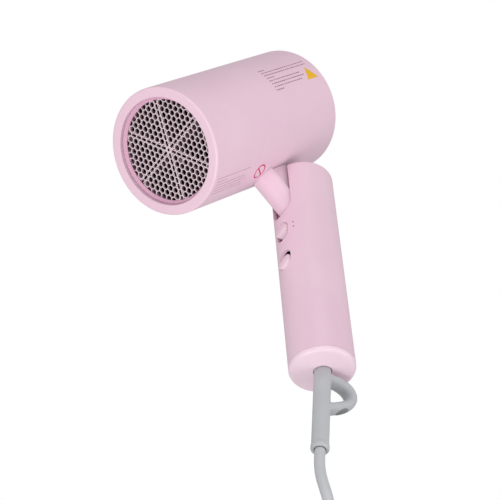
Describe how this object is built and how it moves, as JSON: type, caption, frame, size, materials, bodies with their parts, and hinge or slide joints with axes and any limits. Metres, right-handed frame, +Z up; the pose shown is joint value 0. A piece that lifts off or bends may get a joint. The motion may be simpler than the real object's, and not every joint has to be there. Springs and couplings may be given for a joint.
{
  "type": "hair dryer",
  "caption": "Folding hair dryer: round barrel with honeycomb outlet, hinged neck, slotted round handle with slide switches, cord guard with hanging loop, mains cord and plug.",
  "frame": {"origin": "middle of the grip, on the handle's axis half way between the fold hinge and the flat end of the handle", "axes": "+Z up along the handle's axis, +X to the front where the switches are and the air comes out, +Y to the left"},
  "size_m": [0.1478, 0.1485, 0.3552],
  "materials": {
    "body_pink": "satin pink paint-like moulding",
    "pale_pink": "satin pale pink moulding",
    "grille": "satin silver pink",
    "rubber_grey": "matte light grey",
    "black_plastic": "matte black",
    "steel": "zinc plated",
    "brass": "bright",
    "mica": "mica sheet",
    "heater_wire": "oxidised alloy wire",
    "board": "green laminate",
    "wire_sleeve": "woven glass sleeve"
  },
  "bodies": {
    "handle": {"handle_shell": "body_pink", "hinge_fork": "body_pink", "handle_end_cap": "pale_pink", "cord_guard": "rubber_grey", "cord": "rubber_grey", "cord_tail": "rubber_grey", "cord_coil": "rubber_grey", "cord_lead": "rubber_grey", "plug_body": "rubber_grey", "handle_chassis": "black_plastic", "power_switch": "black_plastic", "heat_switch": "black_plastic", "cord_clamp": "black_plastic", "coil_tie": "black_plastic", "hinge_pin_left": "steel", "hinge_pin_right": "steel", "hinge_washer_left": "steel", "hinge_washer_right": "steel", "chassis_screw_left": "steel", "chassis_screw_right": "steel", "clamp_screw_left": "steel", "clamp_screw_right": "steel", "plug_pin_left": "brass", "plug_pin_right": "brass", "switch_board": "board", "handle_wires": "wire_sleeve"},
    "barrel": {"barrel_shell": "body_pink", "outlet_ring": "pale_pink", "outlet_grille": "grille", "rear_cover": "body_pink", "inlet_filter": "black_plastic", "hinge_neck": "body_pink", "neck_screw_1": "steel", "neck_screw_2": "steel", "neck_screw_3": "steel", "neck_screw_4": "steel", "motor_mount": "black_plastic", "motor": "steel", "mica_sleeve": "mica", "mica_board_upright": "mica", "mica_board_level": "mica", "heater_coil_high": "heater_wire", "heater_coil_low": "heater_wire", "thermal_cutout": "black_plastic", "thermal_fuse": "steel", "barrel_wires": "wire_sleeve"},
    "fan": {"fan_impeller": "black_plastic", "motor_shaft": "steel"},
    "power_slider": {"power_slider": "pale_pink"},
    "heat_slider": {"heat_slider": "pale_pink"}
  },
  "joints": [
    {"name": "fold_hinge", "type": "hinge", "parent": "handle", "child": "barrel", "pos_m": [0.0053, 0, 0.0572], "axis": [0, 1, 0], "range_deg": [-43.6, 46.4]},
    {"name": "fan_spin", "type": "hinge", "parent": "barrel", "child": "fan", "pos_m": [0.04702, 0, 0.10101], "axis": [0.7242, 0, -0.6896], "continuous": true},
    {"name": "power_slide", "type": "slide", "parent": "handle", "child": "power_slider", "axis": [0, 0, 1], "range_m": [-0.003, 0]},
    {"name": "heat_slide", "type": "slide", "parent": "handle", "child": "heat_slider", "axis": [0, 0, 1], "range_m": [0, 0.003]}
  ]
}
